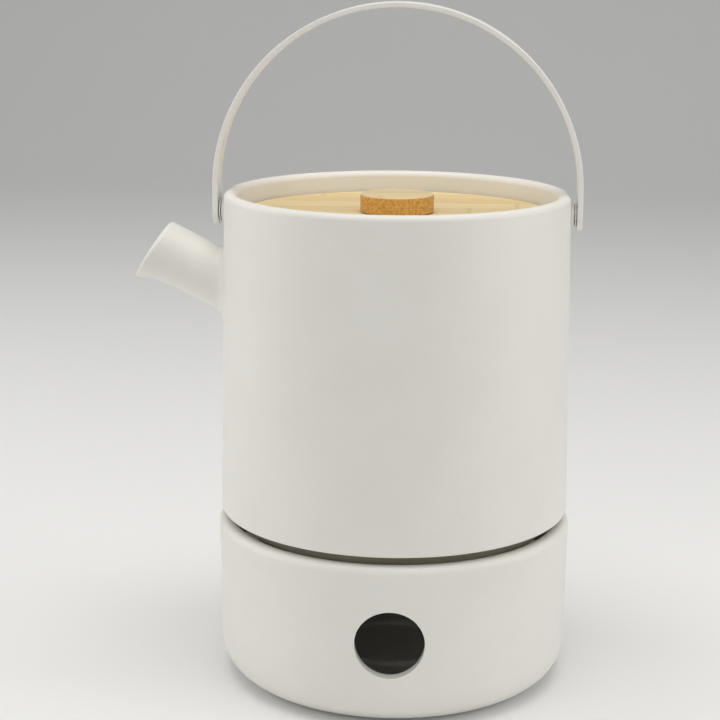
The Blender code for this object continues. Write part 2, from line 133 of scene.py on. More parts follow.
# Handle and its pivots
STRIP_THICKNESS = 2.0 * MM
STRIP_OUTER = STRIP_HIGH[0]
STRIP_WIDTH = STRIP_HIGH[1] - STRIP_LOW[1]
STRIP_EDGE = 0.45 * MM
STRIP_EDGE_SHARE = 0.6  # the most of the half width that an edge takes up
STRIP_EDGE_STEPS = 4
STRIP_END_STEPS = 14
STRIP_LEG_STEPS = 6
STRIP_ARCH_STEPS = 120
BOSS_RADIUS = 4.6 * MM
BOSS_EDGE = 0.35 * MM
SOCKET_SLACK = 0.1 * MM
SOCKET_GAP = 0.3 * MM
SOCKET_CUT = 5.0 * MM
PIN_RADIUS = 2.0 * MM
PIN_SLACK = 0.1 * MM
PIN_HEAD_RADIUS = PIN_HIGH[1]
PIN_HEAD_DEPTH = 1.3 * MM
PIN_EDGE = 0.15 * MM
PIN_DISH = 0.05 * MM
PIN_TIP = 0.4 * MM
KEY_RADIUS = 1.15 * MM
KEY_DEPTH = 0.9 * MM
WASHER_EDGE = 0.12 * MM

# Lid
LID_THICKNESS = 6.0 * MM
LID_EDGE = 0.8 * MM
LID_UNDER_EDGE = 0.4 * MM
PLUG_EDGE = 0.6 * MM
SEAL_PROUD = 1.5 * MM
GROOVE_DEPTH = 1.5 * MM
GROOVE_SLACK = 0.1 * MM
SINK_GAP = 0.3 * MM
SCREW_HOLE = 1.8 * MM
SCREW_DEPTH = 5.3 * MM
KNOB_EDGE = 0.9 * MM
KNOB_FOOT_EDGE = 0.3 * MM

# Strainer
SHEET = 0.6 * MM
HOLE_SHARE = 0.27  # of a square cell's side
HOLE_SIDES = 12
SLEEVE_COLUMNS = 96
SLEEVE_ROWS = 15
SLEEVE_HEM = 3.0 * MM
SIEVE_BANDS = ((84, 25.2 * MM, 5), (42, 10.0 * MM, 5))  # columns, inner radius, rows
SIEVE_BAND_MIDDLE = 8.0 * MM
SIEVE_CENTRE = 0.5 * MM
COLLAR_SHEET = 0.8 * MM
COLLAR_EDGE = 0.25 * MM
COLLAR_GAP = 0.3 * MM
COLLAR_UNDER_BEND = 0.6 * MM
COLLAR_UPPER_BEND = 0.7 * MM

# How finely curves and straight stretches are divided
LARGE_STEPS = 256
MEDIUM_STEPS = 192
KNOB_STEPS = 128
SMALL_STEPS = 96
NOSE_STEPS = 14
FINE_STEP = 3.0 * MM
POT_STEP = 3.5 * MM
LID_STEP = 6.0 * MM


def arc(centre_r, centre_z, radius, start, end, count):
    """Points of an arc in the profile plane, from one angle to another in degrees."""
    angles = [math.radians(start + (end - start) * i / count) for i in range(count + 1)]
    return [(centre_r + radius * math.cos(a), centre_z + radius * math.sin(a)) for a in angles]


def filled(profile, step):
    """The same profile with points added along its straight stretches, no further apart than a step."""
    result = [profile[0]]
    for (r0, z0), (r1, z1) in zip(profile, profile[1:]):
        parts = max(1, math.ceil(math.hypot(r1 - r0, z1 - z0) / step))
        result += [(r0 + (r1 - r0) * i / parts, z0 + (z1 - z0) * i / parts) for i in range(1, parts + 1)]
    return result


def new_object(name, shape):
    """A smooth-shaded object from a bmesh, with its faces turned outwards."""
    bmesh.ops.remove_doubles(shape, verts=shape.verts, dist=0.001 * MM)
    bmesh.ops.recalc_face_normals(shape, faces=shape.faces)
    mesh = bpy.data.meshes.new(name)
    shape.to_mesh(mesh)
    shape.free()
    mesh.shade_smooth()
    made = bpy.data.objects.new(name, mesh)
    bpy.context.scene.collection.objects.link(made)
    return made


def turned(name, profile, steps=LARGE_STEPS, matrix=None):
    """A profile of (radius, height) points turned about Z, closed unless it starts and ends on the axis."""
    shape = bmesh.new()
    rings = []
    for r, z in profile:
        if r < 1e-7:
            rings.append([shape.verts.new((0.0, 0.0, z))])
            continue
        turns = [2 * math.pi * i / steps for i in range(steps)]
        rings.append([shape.verts.new((r * math.cos(t), r * math.sin(t), z)) for t in turns])
    pairs = list(zip(rings, rings[1:]))
    if profile[0][0] > 0:
        pairs.append((rings[-1], rings[0]))
    for first, second in pairs:
        for i in range(steps):
            j = (i + 1) % steps
            near = (first[i % len(first)], first[j % len(first)])
            far = (second[j % len(second)], second[i % len(second)])
            corners = list(dict.fromkeys(near + far))
            if len(corners) > 2:
                shape.faces.new(corners)
    if matrix is not None:
        shape.transform(matrix)
    return new_object(name, shape)


def lofted(name, rings):
    """A closed body through rings of points, capped at both ends."""
    shape = bmesh.new()
    rows = [[shape.verts.new(p) for p in ring] for ring in rings]
    for near, far in zip(rows, rows[1:]):
        for i in range(len(near)):
            j = (i + 1) % len(near)
            shape.faces.new((near[i], near[j], far[j], far[i]))
    shape.faces.new(rows[0])
    shape.faces.new(rows[-1])
    return new_object(name, shape)


def apply_modifiers(thing):
    graph = bpy.context.evaluated_depsgraph_get()
    mesh = bpy.data.meshes.new_from_object(thing.evaluated_get(graph))
    thing.modifiers.clear()
    thing.data = mesh


def cut(thing, operation, *others):
    """Joins or cuts with other objects, then removes them."""
    for other in others:
        step = thing.modifiers.new(other.name, "BOOLEAN")
        step.operation = operation
        step.object = other
        step.solver = "EXACT"
    bpy.context.view_layer.update()
    apply_modifiers(thing)
    for other in others:
        bpy.data.objects.remove(other)


def sharpen(thing, degrees):
    """Keeps edges over this angle crisp, and weighs the shading by face so that flat faces look flat."""
    thing.data.shade_smooth()
    thing.data.set_sharp_from_angle(angle=math.radians(degrees))
    normals = thing.modifiers.new("face weighted shading", "WEIGHTED_NORMAL")
    normals.keep_sharp = True


def along_x(sign):
    """Turns a piece made about Z so that its axis runs along +X or -X at the handle's pivot."""
    return Matrix.Translation((0.0, 0.0, PIVOT_Z)) @ Matrix.Rotation(sign * math.pi / 2, 4, "Y")


# Materials


def node(tree, kind, **inputs):
    made = tree.nodes.new(kind)
    for key, value in inputs.items():
        made.inputs[key].default_value = value
    return made


def new_material(name, colour, roughness, metallic=0.0):
    made = bpy.data.materials.new(name)
    made.use_nodes = True
    shader = made.node_tree.nodes["Principled BSDF"]
    shader.inputs["Base Color"].default_value = (*colour, 1.0)
    shader.inputs["Roughness"].default_value = roughness
    shader.inputs["Metallic"].default_value = metallic
    return made, made.node_tree, shader


def coordinates(tree, scale=(1.0, 1.0, 1.0)):
    """Object coordinates in metres, stretched by a scale."""
    source = tree.nodes.new("ShaderNodeTexCoord")
    mapping = tree.nodes.new("ShaderNodeMapping")
    mapping.inputs["Scale"].default_value = scale
    tree.links.new(source.outputs["Object"], mapping.inputs["Vector"])
    return mapping.outputs["Vector"]


def noise(tree, vector, scale, detail=3.0, roughness=0.5):
    made = node(tree, "ShaderNodeTexNoise", Scale=scale, Detail=detail, Roughness=roughness)
    tree.links.new(vector, made.inputs["Vector"])
    return made.outputs["Fac"]


def spread(tree, value, low, high, to_low=0.0, to_high=1.0):
    """Maps a range of a value to another range, clamped."""
    made = tree.nodes.new("ShaderNodeMapRange")
    tree.links.new(value, made.inputs["Value"])
    for key, number in (("From Min", low), ("From Max", high), ("To Min", to_low), ("To Max", to_high)):
        made.inputs[key].default_value = number
    return made.outputs["Result"]


def blend(tree, share, first, second):
    """Mixes two colours, each an RGB tuple or a socket, by a share from a socket."""
    made = tree.nodes.new("ShaderNodeMix")
    made.data_type = "RGBA"
    sockets = [s for s in made.inputs if s.type == "RGBA"]
    tree.links.new(share, made.inputs[0])
    for socket, value in zip(sockets, (first, second)):
        if isinstance(value, tuple):
            socket.default_value = (*value, 1.0)
        else:
            tree.links.new(value, socket)
    return next(s for s in made.outputs if s.type == "RGBA")


def maths(tree, operation, first, second=None):
    made = tree.nodes.new("ShaderNodeMath")
    made.operation = operation
    for socket, value in zip(made.inputs, (first, second)):
        if value is None:
            continue
        if isinstance(value, (int, float)):
            socket.default_value = value
        else:
            tree.links.new(value, socket)
    return made.outputs[0]


def bump(tree, shader, height, distance, strength=1.0, under=None):
    """Adds relief of a height in metres, on top of another relief if there is one."""
    made = node(tree, "ShaderNodeBump", Strength=strength, Distance=distance)
    tree.links.new(height, made.inputs["Height"])
    if under is not None:
        tree.links.new(under, made.inputs["Normal"])
    tree.links.new(made.outputs["Normal"], shader.inputs["Normal"])
    return made.outputs["Normal"]


def ceramic_material():
    """Matt white glaze: faint clouding, fine specks and pinholes, and a soft waviness from the glaze."""
    made, tree, shader = new_material("ceramic_glaze", (0.80, 0.79, 0.76), 0.45)
    vector = coordinates(tree)
    cloud = spread(tree, noise(tree, vector, 28.0, 4.0), 0.35, 0.65)
    tone = blend(tree, cloud, (0.800, 0.785, 0.730), (0.828, 0.815, 0.768))
    grain = spread(tree, noise(tree, vector, 1500.0, 2.0, 0.6), 0.30, 0.70, 0.0, 0.35)
    tone = blend(tree, grain, tone, (0.750, 0.734, 0.676))
    cells = node(tree, "ShaderNodeTexVoronoi", Scale=260.0)
    tree.links.new(vector, cells.inputs["Vector"])
    size = spread(tree, noise(tree, vector, 70.0, 2.0), 0.55, 0.75, 0.0, 0.12)
    specks = maths(tree, "LESS_THAN", cells.outputs["Distance"], size)
    tone = blend(tree, maths(tree, "MULTIPLY", specks, 0.30), tone, (0.60, 0.56, 0.48))
    tree.links.new(tone, shader.inputs["Base Color"])
    gloss = spread(tree, noise(tree, vector, 90.0, 5.0), 0.30, 0.70, 0.40, 0.52)
    tree.links.new(gloss, shader.inputs["Roughness"])
    shader.inputs["Specular IOR Level"].default_value = 0.45
    shader.inputs["Subsurface Weight"].default_value = 0.06
    shader.inputs["Subsurface Radius"].default_value = (0.0022, 0.0018, 0.0012)
    shader.inputs["Subsurface Scale"].default_value = 1.0
    waves = bump(tree, shader, noise(tree, vector, 45.0, 2.0), 0.10 * MM, 0.5)
    bump(tree, shader, noise(tree, vector, 1900.0, 3.0, 0.6), 0.012 * MM, 0.6, waves)
    return made


def foot_shade_material():
    """Painted shade for the pot's foot, which sits in the shadowed gap above the warmer: olive grey, dull and
    grainy.
    """
    made, tree, shader = new_material("painted_foot_shade", (0.30, 0.29, 0.22), 0.85)
    vector = coordinates(tree)
    # Painted shade: a dark olive grey in place of the shadow that falls on the foot in the gap
    tone = blend(tree, noise(tree, vector, 60.0, 3.0), (0.27, 0.255, 0.19), (0.34, 0.325, 0.245))
    grain = noise(tree, vector, 1800.0, 2.0)
    tone = blend(tree, spread(tree, grain, 0.55, 0.70, 0.0, 0.5), tone, (0.42, 0.40, 0.31))
    tree.links.new(tone, shader.inputs["Base Color"])
    bump(tree, shader, grain, 0.05 * MM, 0.7)
    return made


def paint_material():
    """White powder coat on steel: orange peel relief and a slightly uneven gloss."""
    made, tree, shader = new_material("powder_coat", (0.80, 0.79, 0.75), 0.42)
    vector = coordinates(tree)
    cloud = spread(tree, noise(tree, vector, 40.0, 3.0), 0.35, 0.65)
    tone = blend(tree, cloud, (0.79, 0.78, 0.745), (0.83, 0.82, 0.79))
    fleck = spread(tree, noise(tree, vector, 2600.0, 2.0), 0.62, 0.72, 0.0, 0.5)
    tone = blend(tree, fleck, tone, (0.68, 0.66, 0.62))
    tree.links.new(tone, shader.inputs["Base Color"])
    gloss = spread(tree, noise(tree, vector, 300.0, 3.0), 0.30, 0.70, 0.36, 0.48)
    tree.links.new(gloss, shader.inputs["Roughness"])
    peel = bump(tree, shader, noise(tree, vector, 1100.0, 2.0), 0.03 * MM, 0.7)
    bump(tree, shader, noise(tree, vector, 3800.0, 2.0), 0.008 * MM, 0.6, peel)
    return made


KNUCKLE_SPACING = 110.0 * MM  # between the nodes of a bamboo cane


def fibre_tones(tree, strip_width, light, dark):
    """Laminated bamboo seen from the side: strips along X with their own tone, fibres, streaks and nodes."""
    source = tree.nodes.new("ShaderNodeTexCoord")
    axes = tree.nodes.new("ShaderNodeSeparateXYZ")
    tree.links.new(source.outputs["Object"], axes.inputs[0])
    strip = maths(tree, "FLOOR", maths(tree, "DIVIDE", axes.outputs["Y"], strip_width))
    white = tree.nodes.new("ShaderNodeTexWhiteNoise")
    white.noise_dimensions = "1D"
    tree.links.new(strip, white.inputs["W"])
    tone = blend(tree, spread(tree, white.outputs["Value"], 0.0, 1.0, 0.0, 0.75), light, dark)
    streaks = noise(tree, coordinates(tree, (5.0, 240.0, 90.0)), 1.0, 4.0, 0.6)
    tone = blend(tree, spread(tree, streaks, 0.42, 0.72, 0.0, 0.55), tone, dark)
    fibres = noise(tree, coordinates(tree, (30.0, 1900.0, 900.0)), 1.0, 3.0, 0.6)
    darker = tuple(c * 0.72 for c in dark)
    tone = blend(tree, spread(tree, fibres, 0.55, 0.75, 0.0, 0.45), tone, darker)
    shift = maths(tree, "MULTIPLY", white.outputs["Value"], 7.3)
    along = maths(tree, "DIVIDE", axes.outputs["X"], KNUCKLE_SPACING)
    place = maths(tree, "FRACT", maths(tree, "ADD", along, shift))
    knuckle = maths(tree, "ABSOLUTE", maths(tree, "SUBTRACT", place, 0.5))
    tone = blend(tree, spread(tree, knuckle, 0.0, 0.012, 0.40, 0.0), tone, darker)
    seam = maths(tree, "FRACT", maths(tree, "DIVIDE", axes.outputs["Y"], strip_width))
    seam = maths(tree, "ABSOLUTE", maths(tree, "SUBTRACT", seam, 0.5))
    tone = blend(tree, spread(tree, seam, 0.485, 0.5, 0.0, 0.35), tone, darker)
    return tone, fibres


def bamboo_material():
    """Oiled laminated bamboo with its fibres along X."""
    made, tree, shader = new_material("bamboo_board", (0.80, 0.64, 0.38), 0.50)
    tone, fibres = fibre_tones(tree, 13.0 * MM, (0.88, 0.72, 0.42), (0.76, 0.55, 0.25))
    tree.links.new(tone, shader.inputs["Base Color"])
    tree.links.new(spread(tree, fibres, 0.3, 0.7, 0.42, 0.60), shader.inputs["Roughness"])
    bump(tree, shader, fibres, 0.05 * MM, 0.5)
    return made


def knob_material():
    """Bamboo with a pale top along the grain and a caramel side of cut fibre ends."""
    made, tree, shader = new_material("bamboo_knob", (0.62, 0.38, 0.15), 0.55)
    top, fibres = fibre_tones(tree, 7.0 * MM, (0.86, 0.70, 0.43), (0.76, 0.57, 0.29))
    vector = coordinates(tree, (900.0, 900.0, 1500.0))
    ends = node(tree, "ShaderNodeTexVoronoi", Scale=1.0)
    tree.links.new(vector, ends.inputs["Vector"])
    mottle = noise(tree, coordinates(tree, (1100.0, 1100.0, 900.0)), 1.0, 4.0, 0.65)
    mottle = spread(tree, mottle, 0.32, 0.66)
    side = blend(tree, mottle, (0.82, 0.47, 0.115), (0.50, 0.245, 0.045))
    pores = spread(tree, ends.outputs["Distance"], 0.10, 0.32, 0.45, 0.0)
    side = blend(tree, pores, side, (0.34, 0.16, 0.03))
    source = tree.nodes.new("ShaderNodeTexCoord")
    axes = tree.nodes.new("ShaderNodeSeparateXYZ")
    tree.links.new(source.outputs["Normal"], axes.inputs[0])
    tone = blend(tree, spread(tree, axes.outputs["Z"], 0.45, 0.80), side, top)
    tree.links.new(tone, shader.inputs["Base Color"])
    tree.links.new(spread(tree, fibres, 0.3, 0.7, 0.46, 0.62), shader.inputs["Roughness"])
    bump(tree, shader, mottle, 0.05 * MM, 0.5)
    return made


def steel_material():
    """Satin stainless steel, brushed round the axis."""
    made, tree, shader = new_material("stainless", (0.60, 0.60, 0.585), 0.30, 1.0)
    brush = noise(tree, coordinates(tree, (60.0, 60.0, 2600.0)), 1.0, 3.0)
    cloud = noise(tree, coordinates(tree), 60.0, 3.0)
    tone = blend(tree, spread(tree, cloud, 0.35, 0.65), (0.56, 0.56, 0.545), (0.64, 0.64, 0.63))
    tree.links.new(tone, shader.inputs["Base Color"])
    tree.links.new(spread(tree, brush, 0.3, 0.7, 0.24, 0.40), shader.inputs["Roughness"])
    bump(tree, shader, brush, 0.01 * MM, 0.5)
    return made


def soft_material(name, colour, roughness):
    """Moulded silicone or nylon: a fine mould texture and a faint tone change."""
    made, tree, shader = new_material(name, colour, roughness)
    vector = coordinates(tree)
    darker = tuple(c * 0.90 for c in colour)
    tone = blend(tree, spread(tree, noise(tree, vector, 500.0, 3.0), 0.35, 0.65), colour, darker)
    tree.links.new(tone, shader.inputs["Base Color"])
    bump(tree, shader, noise(tree, vector, 2200.0, 2.0), 0.02 * MM, 0.5)
    return made


# Pieces


def finish_piece(thing, material, body, slot, *replaced):
    thing.data.materials.clear()
    thing.data.materials.append(material)
    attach(thing, body)
    if replaced:
        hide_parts(*replaced)


def make_warmer(material):
    nose = WARMER_LIP / 2
    seat_z = WARMER_HEIGHT - SEAT_DROP
    inner = WARMER_TOP_RADIUS - WARMER_LIP
    profile = arc(WARMER_TOP_RADIUS - nose, WARMER_HEIGHT - nose, nose, 90, 0, NOSE_STEPS)
    profile += arc(WARMER_FOOT_RADIUS - WARMER_CORNER, WARMER_CORNER, WARMER_CORNER, 0, -90, 18)
    profile += [(0.0, 0.0), (0.0, WARMER_FLOOR), (WELL_RADIUS, WARMER_FLOOR)]
    profile += arc(WELL_RADIUS + WELL_RIDGE, WARMER_FLOOR, WELL_RIDGE, 165, 15, 10)
    profile += [(WELL_RADIUS + 2 * WELL_RIDGE, WARMER_FLOOR)]
    corner = WARMER_INNER_CORNER
    floor_radius = WARMER_FOOT_RADIUS - WARMER_WALL
    profile += arc(floor_radius - corner, WARMER_FLOOR + corner, corner, -90, 0, 12)
    under_lip = WARMER_HEIGHT - LIP_DEPTH
    wall_share = (under_lip - WARMER_CORNER) / (WARMER_HEIGHT - nose - WARMER_CORNER)
    taper = WARMER_TOP_RADIUS - WARMER_FOOT_RADIUS
    wall_radius = WARMER_FOOT_RADIUS + taper * wall_share - WARMER_WALL
    profile += [(wall_radius, under_lip - (wall_radius - inner)), (inner, under_lip)]
    profile += arc(WARMER_TOP_RADIUS - nose, WARMER_HEIGHT - nose, nose, 180, 90, NOSE_STEPS)[:-1]
    warmer = turned("warmer_fine", filled(profile, FINE_STEP))
    lugs = []
    for i in range(LUG_COUNT):
        shape = bmesh.new()
        bmesh.ops.create_cube(shape, size=1.0)
        reach = LUG_REACH + WARMER_LIP / 2
        shape.transform(Matrix.Diagonal((reach, LUG_WIDTH, LUG_DEPTH, 1.0)))
        bmesh.ops.bevel(shape, geom=shape.edges[:], offset=LUG_EDGE, segments=4, profile=0.5, affect="EDGES")
        middle = inner - LUG_REACH + reach / 2
        turn = Matrix.Rotation(math.radians(90 + 360 * i / LUG_COUNT), 4, "Z")
        shape.transform(turn @ Matrix.Translation((middle, 0.0, seat_z - LUG_DEPTH / 2)))
        lugs.append(new_object(f"lug_{i + 1}", shape))
    cut(warmer, "UNION", *lugs)
    start, end = inner - 4 * WARMER_LIP, 2 * WARMER_TOP_RADIUS
    drill = [(0.0, end), (WINDOW_RADIUS, end), (WINDOW_RADIUS, start), (0.0, start)]
    aim = Matrix.Rotation(WINDOW_TURN - math.pi / 2, 4, "Z") @ Matrix.Rotation(math.pi / 2, 4, "Y")
    aim = Matrix.Translation((0.0, 0.0, WINDOW_HEIGHT)) @ aim
    cut(warmer, "DIFFERENCE", turned("window", drill, SMALL_STEPS, aim))
    weight_window_edge(warmer)
    edge = warmer.modifiers.new("window edge", "BEVEL")
    edge.limit_method = "WEIGHT"
    edge.width = WINDOW_EDGE
    edge.segments = 4
    apply_modifiers(warmer)
    sharpen(warmer, 35)
    finish_piece(warmer, material, "warmer", "white_ceramic", "warmer")


def weight_window_edge(warmer):
    """Marks the edges where the window meets the wall, outside and inside, for the bevel."""
    near, sharp = 0.15 * MM, math.radians(30)
    shape = bmesh.new()
    shape.from_mesh(warmer.data)
    bmesh.ops.remove_doubles(shape, verts=shape.verts, dist=0.02 * MM)
    weights = shape.edges.layers.float.new("bevel_weight_edge")
    side = Vector((math.sin(WINDOW_TURN), -math.cos(WINDOW_TURN), 0.0))
    middle = Vector((0.0, 0.0, WINDOW_HEIGHT))
    for edge in shape.edges:
        spots = [v.co - middle for v in edge.verts]
        if min(s.dot(side) for s in spots) < 0:
            continue
        off = [abs((s - side * s.dot(side)).length - WINDOW_RADIUS) for s in spots]
        if max(off) < near and edge.calc_face_angle(0.0) > sharp:
            edge[weights] = 1.0
    shape.to_mesh(warmer.data)
    shape.free()


def pot_radius(height, inset=0.0):
    share = (height - WALL_Z) / (RIM_Z - WALL_Z)
    return POT_FOOT_RADIUS + (POT_RIM_RADIUS - POT_FOOT_RADIUS) * share - inset


def spout_section(share):
    """The spout's section at a share of its length: its centre in the XZ plane, its tilt and its width."""
    along = share * SPOUT_TOP_LENGTH
    top_x = -pot_radius(RIM_Z - SPOUT_TOP_DROP) - along * math.cos(SPOUT_TOP_RISE)
    top_z = RIM_Z - SPOUT_TOP_DROP + along * math.sin(SPOUT_TOP_RISE)
    opened = max(share, 0.0)
    width = SPOUT_ROOT_WIDTH + (SPOUT_MOUTH_WIDTH - SPOUT_ROOT_WIDTH) * opened ** SPOUT_FLARE
    tilt = SPOUT_ROOT_TILT + (SPOUT_MOUTH_TILT - SPOUT_ROOT_TILT) * opened
    return top_x - width / 2 * math.sin(tilt), top_z - width / 2 * math.cos(tilt), tilt, width


def spout_point(share, turn, inset=0.0):
    """A point on the spout's surface, at a share of its length and an angle from its upper edge."""
    x, z, tilt, width = spout_section(share)
    up = (width / 2 - inset) * math.cos(turn)
    across = (width / 2 - inset) * math.sin(turn)
    return Vector((x + up * math.sin(tilt), across, z + up * math.cos(tilt)))


def spout_ring(share, inset=0.0):
    return [spout_point(share, 2 * math.pi * i / SPOUT_SIDES, inset) for i in range(SPOUT_SIDES)]


def wall_share(turn):
    """The share of the spout's length at which a line along it meets the pot's wall."""
    low, high = -1.5, 1.0
    for _ in range(40):
        middle = (low + high) / 2
        spot = spout_point(middle, turn)
        if math.hypot(spot.x, spot.y) > pot_radius(spot.z):
            high = middle
        else:
            low = middle
    return (low + high) / 2


def on_wall(spot, depth=0.0):
    """The point of the pot's wall level with a point, sunk by a depth."""
    scale = (pot_radius(spot.z) - depth) / math.hypot(spot.x, spot.y)
    return Vector((spot.x * scale, spot.y * scale, spot.z))


def spout_outer():
    """The spout's outer body: a root in the wall, a fillet, the flared tube and half of its lip."""
    lines = []
    for i in range(SPOUT_SIDES):
        turn = 2 * math.pi * i / SPOUT_SIDES
        share = wall_share(turn)
        root = spout_point(share, turn)
        x, z = spout_section(share)[:2]
        outward = (root - Vector((x, 0.0, z))).normalized()
        wall = Vector((root.x, root.y, 0.0)).normalized()
        away = (outward - wall * outward.dot(wall)).normalized()
        size = SPOUT_FILLET_UNDER + (SPOUT_FILLET_TOP - SPOUT_FILLET_UNDER) * (1 + math.cos(turn)) / 2
        tangent = spout_point(share + 0.01, turn) - root
        start_share = share + 0.01 * size / tangent.length
        end = on_wall(root + away * size, FILLET_SINK)
        start = spout_point(start_share, turn)
        line = [on_wall(root + away * (size + ROOT_SPREAD), ROOT_SINK)]
        for k in range(FILLET_STEPS):
            t = k / FILLET_STEPS
            line.append(end * (1 - t) ** 2 + root * 2 * t * (1 - t) + start * t ** 2)
        for k in range(TUBE_STEPS + 1):
            line.append(spout_point(start_share + (lip_share() - start_share) * k / TUBE_STEPS, turn))
        for k in range(1, LIP_STEPS + 1):
            line.append(lip_point(turn, math.pi / 2 * k / LIP_STEPS, 1))
        lines.append(line)
    return lofted("spout_outer", [list(ring) for ring in zip(*lines)])


def lip_share():
    """Where the lip's rounding starts."""
    return 1.0 - SPOUT_LIP / SPOUT_TOP_LENGTH


def lip_point(turn, bend, side):
    """A point on the lip's rounding: side 1 from the outer wall and -1 from the bore, to the lip's crest."""
    share = lip_share() + SPOUT_LIP / SPOUT_TOP_LENGTH * math.sin(bend)
    return spout_point(share, turn, SPOUT_LIP - side * SPOUT_LIP * math.cos(bend))


def spout_bore():
    """The cutter for the channel, from inside the pot to past the mouth, wider where the lip is round."""
    length = lip_share() - BORE_START
    shares = list(BORE_DEEP) + [BORE_START + length * k / BORE_STEPS for k in range(BORE_STEPS + 1)]
    rings = [spout_ring(share, SPOUT_WALL) for share in shares]
    turns = [2 * math.pi * i / SPOUT_SIDES for i in range(SPOUT_SIDES)]
    for k in range(1, LIP_STEPS + 1):
        rings.append([lip_point(turn, math.pi / 2 * k / LIP_STEPS, -1) for turn in turns])
    rings.append(spout_ring(BORE_END, SPOUT_LIP))
    return lofted("spout_bore", rings)


def mark_foot(pot, material):
    """The foot below the step gets the painted shade colour, standing in for the shadow in the gap above the
    warmer.
    """
    pot.data.materials.append(material)
    for face in pot.data.polygons:
        spot = face.center
        if spot.z < WALL_Z - 0.05 * MM and math.hypot(spot.x, spot.y) < FOOT_RADIUS + 0.1 * MM:
            face.material_index = 1


def make_pot(material, foot_shade):
    nose = POT_WALL / 2
    profile = arc(POT_RIM_RADIUS - nose, RIM_Z - nose, nose, 90, 0, NOSE_STEPS)
    profile += arc(POT_FOOT_RADIUS - POT_EDGE, WALL_Z + POT_EDGE, POT_EDGE, 0, -90, 6)
    profile += [(FOOT_RADIUS, WALL_Z)]
    profile += arc(FOOT_RADIUS - POT_EDGE, FOOT_Z + POT_EDGE, POT_EDGE, 0, -90, 5)
    recess_z = FOOT_Z + FOOT_RECESS
    profile += [(FOOT_RADIUS - FOOT_RING, FOOT_Z), (FOOT_RADIUS - FOOT_RING - FOOT_RECESS, recess_z)]
    profile += [(0.0, recess_z)]
    floor_z = recess_z + POT_FLOOR
    profile += [(0.0, floor_z)]
    corner = POT_INNER_CORNER
    profile += arc(pot_radius(floor_z, POT_WALL) - corner, floor_z + corner, corner, -90, 0, 10)
    ledge_z = COLLAR_HIGH[2] - COLLAR_SHEET - LEDGE_GAP
    under_z = ledge_z - LEDGE_THICKNESS
    pocket = POT_RIM_RADIUS - POT_WALL
    ledge = pocket - LEDGE_WIDTH
    profile += [(pot_radius(under_z, POT_WALL), under_z - LEDGE_WIDTH), (ledge, under_z)]
    profile += arc(ledge + LEDGE_SOFT, ledge_z - LEDGE_SOFT, LEDGE_SOFT, 180, 90, 5)
    profile += arc(pocket - LEDGE_SOFT, ledge_z + LEDGE_SOFT, LEDGE_SOFT, -90, 0, 5)
    profile += arc(POT_RIM_RADIUS - nose, RIM_Z - nose, nose, 180, 90, NOSE_STEPS)[:-1]
    pot = turned("pot_body_fine", filled(profile, POT_STEP))
    cut(pot, "UNION", spout_outer(), make_boss("left", -1), make_boss("right", 1))
    cut(pot, "DIFFERENCE", spout_bore(), make_socket("left", -1), make_socket("right", 1))
    sharpen(pot, 40)
    finish_piece(pot, material, "pot", "white_ceramic", "pot_body", "pot_spout")
    # The foot below the step is given the dark painted shade material
    mark_foot(pot, foot_shade)


def make_boss(side, sign):
    tip = BUSH_HIGH[0]
    wall = pot_radius(PIVOT_Z)
    profile = [(0.0, tip)] + arc(BOSS_RADIUS - BOSS_EDGE, tip - BOSS_EDGE, BOSS_EDGE, 90, 0, 4)
    fillet = tip - wall - BOSS_EDGE
    profile += arc(BOSS_RADIUS + fillet, wall + fillet, fillet, 180, 265, 6)
    profile += [(BOSS_RADIUS + fillet, wall - POT_WALL / 2), (0.0, wall - POT_WALL / 2)]
    return turned(f"boss_{side}", profile, SMALL_STEPS, along_x(sign))


def make_socket(side, sign):
    radius = BUSH_HIGH[1] + SOCKET_SLACK
    floor = BUSH_LOW[0] - SOCKET_GAP
    mouth = BUSH_HIGH[0] + SOCKET_CUT
    profile = [(0.0, mouth), (radius, mouth), (radius, floor), (0.0, floor)]
    return turned(f"socket_{side}", profile, SMALL_STEPS, along_x(sign))


def strip_section(x, z, lean, half_width):
    """A rounded rectangle across the strip at a point of its middle line, turned by lean from +X."""
    half = STRIP_THICKNESS / 2
    edge = min(STRIP_EDGE, half_width * STRIP_EDGE_SHARE)
    ring = []
    for corner, (side_t, side_w) in enumerate(((1, 1), (-1, 1), (-1, -1), (1, -1))):
        for k in range(STRIP_EDGE_STEPS + 1):
            angle = math.pi / 2 * (corner + k / STRIP_EDGE_STEPS)
            out = side_t * (half - edge) + edge * math.cos(angle)
            across = side_w * (half_width - edge) + edge * math.sin(angle)
            ring.append((x + out * math.cos(lean), across, z + out * math.sin(lean)))
    return ring


def make_handle(material):
    """The strip as one sweep: rounded end, leg, half circle, leg, rounded end."""
    middle = STRIP_OUTER - STRIP_THICKNESS / 2
    arch_z = STRIP_HIGH[2] - STRIP_OUTER
    half = STRIP_WIDTH / 2
    leg = []
    for k in range(1, STRIP_END_STEPS + 1):
        bend = math.pi / 2 * k / STRIP_END_STEPS
        leg.append((PIVOT_Z - half * math.cos(bend), half * math.sin(bend)))
    for k in range(1, STRIP_LEG_STEPS):
        leg.append((PIVOT_Z + (arch_z - PIVOT_Z) * k / STRIP_LEG_STEPS, half))
    rings = [strip_section(middle, z, 0.0, reach) for z, reach in leg]
    for k in range(STRIP_ARCH_STEPS + 1):
        lean = math.pi * k / STRIP_ARCH_STEPS
        rings.append(strip_section(middle * math.cos(lean), arch_z + middle * math.sin(lean), lean, half))
    rings += [strip_section(-middle, z, math.pi, reach) for z, reach in reversed(leg)]
    strip = lofted("handle_strip_fine", rings)
    cut(strip, "DIFFERENCE", make_eye("left", -1), make_eye("right", 1))
    sharpen(strip, 40)
    finish_piece(strip, material, "handle", "white_paint", "handle_strip")


